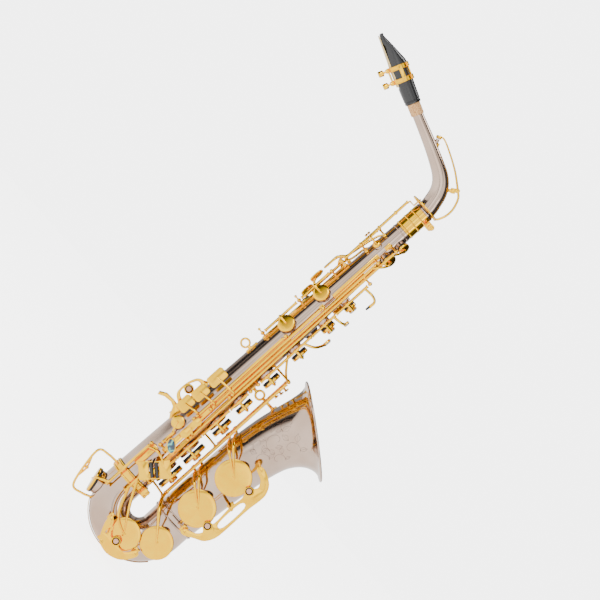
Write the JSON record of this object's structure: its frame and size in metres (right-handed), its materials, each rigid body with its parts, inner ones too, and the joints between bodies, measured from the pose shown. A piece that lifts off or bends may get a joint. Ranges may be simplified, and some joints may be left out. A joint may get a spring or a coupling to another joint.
{
  "type": "alto saxophone",
  "caption": "Alto saxophone: conical body, bow and flared bell with tone holes, sprung keys on hinge rods, swivelling neck and sliding mouthpiece with ligature.",
  "frame": {"origin": "centre of the neck strap's ring on the back of the body tube", "axes": "+Z along the body tube towards the neck; +X towards the bell; -Y is the player's right, where the bell keys are"},
  "size_m": [0.3456, 0.12, 0.6464],
  "materials": {
    "black_ebonite": "polished black ebonite",
    "cork": "natural cork sheet",
    "gold_lacquer": "polished brass under clear gold lacquer",
    "nickel_silver": "polished nickel plate",
    "pad_leather": "dark waxed pad leather",
    "reed_cane": "dry cane"
  },
  "bodies": {
    "body": {"body_tube": "nickel_silver", "bow": "nickel_silver", "bell": "nickel_silver", "body_bow_clamp": "gold_lacquer", "bow_bell_ring": "nickel_silver", "bow_guard": "gold_lacquer", "bell_brace": "gold_lacquer", "neck_receiver": "gold_lacquer", "stack_rib": "gold_lacquer", "side_rib": "gold_lacquer", "side_rib_top": "gold_lacquer", "back_rib": "gold_lacquer", "palm_rib": "gold_lacquer", "bell_rod_rib": "gold_lacquer", "little_finger_posts": "gold_lacquer", "bell_key_guard": "gold_lacquer", "low_c_guard": "gold_lacquer", "low_eb_guard": "gold_lacquer", "strap_ring": "gold_lacquer", "thumb_hook": "gold_lacquer", "thumb_rest": "black_ebonite"},
    "neck": {"neck_tube": "nickel_silver", "neck_cork": "cork"},
    "mouthpiece": {"mouthpiece": "black_ebonite", "reed": "reed_cane", "ligature": "gold_lacquer"},
    "ligature_screw_1": {"ligature_screw_1": "gold_lacquer"},
    "ligature_screw_2": {"ligature_screw_2": "gold_lacquer"},
    "receiver_screw": {"receiver_screw": "gold_lacquer"},
    "rh_d_key": {"rh_d_key": "gold_lacquer"},
    "rh_e_key": {"rh_e_key": "gold_lacquer"},
    "rh_f_key": {"rh_f_key": "gold_lacquer"},
    "rh_f_sharp_cup": {"rh_f_sharp_cup": "gold_lacquer"},
    "lh_g_key": {"lh_g_key": "gold_lacquer"},
    "lh_a_key": {"lh_a_key": "gold_lacquer"},
    "lh_b_key": {"lh_b_key": "gold_lacquer"},
    "side_bb_touch": {"side_bb_touch": "gold_lacquer"},
    "side_bb_cup": {"side_bb_cup": "gold_lacquer"},
    "side_c_touch": {"side_c_touch": "gold_lacquer"},
    "side_c_cup": {"side_c_cup": "gold_lacquer"},
    "side_e_key": {"side_e_key": "gold_lacquer"},
    "high_f_sharp_key": {"high_f_sharp_key": "gold_lacquer"},
    "alt_f_sharp_key": {"alt_f_sharp_key": "gold_lacquer"},
    "palm_d_key": {"palm_d_key": "gold_lacquer"},
    "palm_eb_key": {"palm_eb_key": "gold_lacquer"},
    "palm_f_key": {"palm_f_key": "gold_lacquer"},
    "octave_lever": {"octave_lever": "gold_lacquer"},
    "neck_octave_key": {"neck_octave_key": "gold_lacquer"},
    "g_sharp_key": {"g_sharp_key": "gold_lacquer"},
    "low_b_key": {"low_b_key": "gold_lacquer", "low_b_pad": "pad_leather"},
    "low_bb_key": {"low_bb_key": "gold_lacquer", "low_bb_pad": "pad_leather"},
    "low_c_sharp_key": {"low_c_sharp_key": "gold_lacquer", "low_c_sharp_pad": "pad_leather"},
    "low_c_key": {"low_c_key": "gold_lacquer", "low_c_pad": "pad_leather"},
    "low_eb_key": {"low_eb_key": "gold_lacquer"},
    "roller_eb": {"roller_eb": "black_ebonite"},
    "roller_c": {"roller_c": "black_ebonite"}
  },
  "joints": [
    {"name": "neck_swivel", "type": "hinge", "parent": "body", "child": "neck", "pos_m": [0.0265, 0, 0.256], "axis": [0, 0, 1], "range_deg": [-10, 10]},
    {"name": "mouthpiece_slide", "type": "slide", "parent": "neck", "child": "mouthpiece", "axis": [-0.9397, 0, 0.342], "range_m": [-0.004, 0.012]},
    {"name": "ligature_screw_1_turn", "type": "hinge", "parent": "mouthpiece", "child": "ligature_screw_1", "pos_m": [-0.11228, 0, 0.32424], "axis": [0.342, 0, 0.9397], "range_deg": [0, 180]},
    {"name": "ligature_screw_2_turn", "type": "hinge", "parent": "mouthpiece", "child": "ligature_screw_2", "pos_m": [-0.12675, 0, 0.32951], "axis": [0.342, 0, 0.9397], "range_deg": [0, 180]},
    {"name": "receiver_screw_turn", "type": "hinge", "parent": "body", "child": "receiver_screw", "pos_m": [0.044, 0, 0.251], "axis": [0, 1, 0], "range_deg": [0, 180]},
    {"name": "rh_d_key_hinge", "type": "hinge", "parent": "body", "child": "rh_d_key", "pos_m": [0.04443, -0.01992, -0.16875], "axis": [0, 0, 1], "range_deg": [0, 7], "stiffness_Nm_per_rad": 0.06},
    {"name": "rh_e_key_hinge", "type": "hinge", "parent": "body", "child": "rh_e_key", "pos_m": [0.04443, -0.01992, -0.1295], "axis": [0, 0, 1], "range_deg": [0, 7], "stiffness_Nm_per_rad": 0.06},
    {"name": "rh_f_key_hinge", "type": "hinge", "parent": "body", "child": "rh_f_key", "pos_m": [0.04443, -0.01992, -0.0875], "axis": [0, 0, 1], "range_deg": [0, 7], "stiffness_Nm_per_rad": 0.06},
    {"name": "rh_f_sharp_cup_hinge", "type": "hinge", "parent": "body", "child": "rh_f_sharp_cup", "pos_m": [0.04443, -0.01992, -0.05075], "axis": [0, 0, 1], "range_deg": [0, 7], "stiffness_Nm_per_rad": 0.06},
    {"name": "lh_g_key_hinge", "type": "hinge", "parent": "body", "child": "lh_g_key", "pos_m": [0.04443, -0.01992, 0.02225], "axis": [0, 0, 1], "range_deg": [0, 7], "stiffness_Nm_per_rad": 0.06},
    {"name": "lh_a_key_hinge", "type": "hinge", "parent": "body", "child": "lh_a_key", "pos_m": [0.04443, -0.01992, 0.0815], "axis": [0, 0, 1], "range_deg": [0, 7], "stiffness_Nm_per_rad": 0.06},
    {"name": "lh_b_key_hinge", "type": "hinge", "parent": "body", "child": "lh_b_key", "pos_m": [0.04443, -0.01992, 0.12575], "axis": [0, 0, 1], "range_deg": [0, 7], "stiffness_Nm_per_rad": 0.06},
    {"name": "side_bb_touch_hinge", "type": "hinge", "parent": "body", "child": "side_bb_touch", "pos_m": [0.02295, -0.02697, -0.031], "axis": [0, 0, 1], "range_deg": [-7, 0], "stiffness_Nm_per_rad": 0.06},
    {"name": "side_bb_cup_hinge", "type": "hinge", "parent": "body", "child": "side_bb_cup", "pos_m": [0.00395, -0.00957, 0.0515], "axis": [0, 0, 1], "range_deg": [-7, 0], "stiffness_Nm_per_rad": 0.06},
    {"name": "side_c_touch_hinge", "type": "hinge", "parent": "body", "child": "side_c_touch", "pos_m": [0.02745, -0.02718, 0.00725], "axis": [0, 0, 1], "range_deg": [-7, 0], "stiffness_Nm_per_rad": 0.06},
    {"name": "side_c_cup_hinge", "type": "hinge", "parent": "body", "child": "side_c_cup", "pos_m": [0.00395, -0.00957, 0.1055], "axis": [0, 0, 1], "range_deg": [-7, 0], "stiffness_Nm_per_rad": 0.06},
    {"name": "side_e_key_hinge", "type": "hinge", "parent": "body", "child": "side_e_key", "pos_m": [0.03192, -0.02665, 0.06075], "axis": [0, 0, 1], "range_deg": [-7, 0], "stiffness_Nm_per_rad": 0.06},
    {"name": "high_f_sharp_key_hinge", "type": "hinge", "parent": "body", "child": "high_f_sharp_key", "pos_m": [0.03625, -0.02539, 0.038], "axis": [0, 0, 1], "range_deg": [-7, 0], "stiffness_Nm_per_rad": 0.06},
    {"name": "alt_f_sharp_key_hinge", "type": "hinge", "parent": "body", "child": "alt_f_sharp_key", "pos_m": [0.01878, -0.02692, -0.139], "axis": [0, 0, 1], "range_deg": [0, 7], "stiffness_Nm_per_rad": 0.06},
    {"name": "palm_d_key_hinge", "type": "hinge", "parent": "body", "child": "palm_d_key", "pos_m": [0.03706, 0.01987, 0.127], "axis": [0, 0, 1], "range_deg": [-7, 0], "stiffness_Nm_per_rad": 0.06},
    {"name": "palm_eb_key_hinge", "type": "hinge", "parent": "body", "child": "palm_eb_key", "pos_m": [0.01298, 0.01861, 0.127], "axis": [0, 0, 1], "range_deg": [0, 7], "stiffness_Nm_per_rad": 0.06},
    {"name": "palm_f_key_hinge", "type": "hinge", "parent": "body", "child": "palm_f_key", "pos_m": [0.00749, 0.01381, 0.127], "axis": [0, 0, 1], "range_deg": [0, 7], "stiffness_Nm_per_rad": 0.06},
    {"name": "octave_lever_hinge", "type": "hinge", "parent": "body", "child": "octave_lever", "pos_m": [0.00422, -0.00313, 0.202], "axis": [0, 0, 1], "range_deg": [-9, 0], "stiffness_Nm_per_rad": 0.06},
    {"name": "neck_octave_key_hinge", "type": "hinge", "parent": "neck", "child": "neck_octave_key", "pos_m": [0.0345, 0, 0.304], "axis": [0, 1, 0], "range_deg": [0, 2.5], "stiffness_Nm_per_rad": 0.06},
    {"name": "g_sharp_key_hinge", "type": "hinge", "parent": "body", "child": "g_sharp_key", "pos_m": [0.02896, 0.02337, 0.063], "axis": [0, 0, 1], "range_deg": [0, 7], "stiffness_Nm_per_rad": 0.06},
    {"name": "low_b_key_hinge", "type": "hinge", "parent": "body", "child": "low_b_key", "pos_m": [0.0667, -0.001, -0.05], "axis": [0, 0, 1], "range_deg": [0, 8], "stiffness_Nm_per_rad": 0.06},
    {"name": "low_bb_key_hinge", "type": "hinge", "parent": "body", "child": "low_bb_key", "pos_m": [0.0667, -0.009, -0.092], "axis": [0, 0, 1], "range_deg": [0, 8], "stiffness_Nm_per_rad": 0.06},
    {"name": "low_c_sharp_key_hinge", "type": "hinge", "parent": "body", "child": "low_c_sharp_key", "pos_m": [0.0667, -0.017, -0.092], "axis": [0, 0, 1], "range_deg": [0, 8], "stiffness_Nm_per_rad": 0.06},
    {"name": "low_c_key_hinge", "type": "hinge", "parent": "body", "child": "low_c_key", "pos_m": [0.0305, -0.0305, -0.203], "axis": [0, 0, 1], "range_deg": [0, 8], "stiffness_Nm_per_rad": 0.06},
    {"name": "low_eb_key_hinge", "type": "hinge", "parent": "body", "child": "low_eb_key", "pos_m": [0.011, -0.025, -0.195], "axis": [0, 0, 1], "range_deg": [0, 8], "stiffness_Nm_per_rad": 0.06},
    {"name": "roller_eb_turn", "type": "hinge", "parent": "low_eb_key", "child": "roller_eb", "pos_m": [0.0371, -0.037, -0.17395], "axis": [0.7894, 0, -0.6139], "continuous": true},
    {"name": "roller_c_turn", "type": "hinge", "parent": "low_c_key", "child": "roller_c", "pos_m": [0.03297, -0.03741, -0.17805], "axis": [0.7817, -0.1099, -0.6139], "continuous": true}
  ],
  "couplings": [
    {"joint": "rh_f_sharp_cup_hinge", "follows": "rh_f_key_hinge", "ratio": 1},
    {"joint": "side_bb_cup_hinge", "follows": "side_bb_touch_hinge", "ratio": 1},
    {"joint": "side_c_cup_hinge", "follows": "side_c_touch_hinge", "ratio": 1},
    {"joint": "neck_octave_key_hinge", "follows": "octave_lever_hinge", "ratio": -0.27}
  ]
}
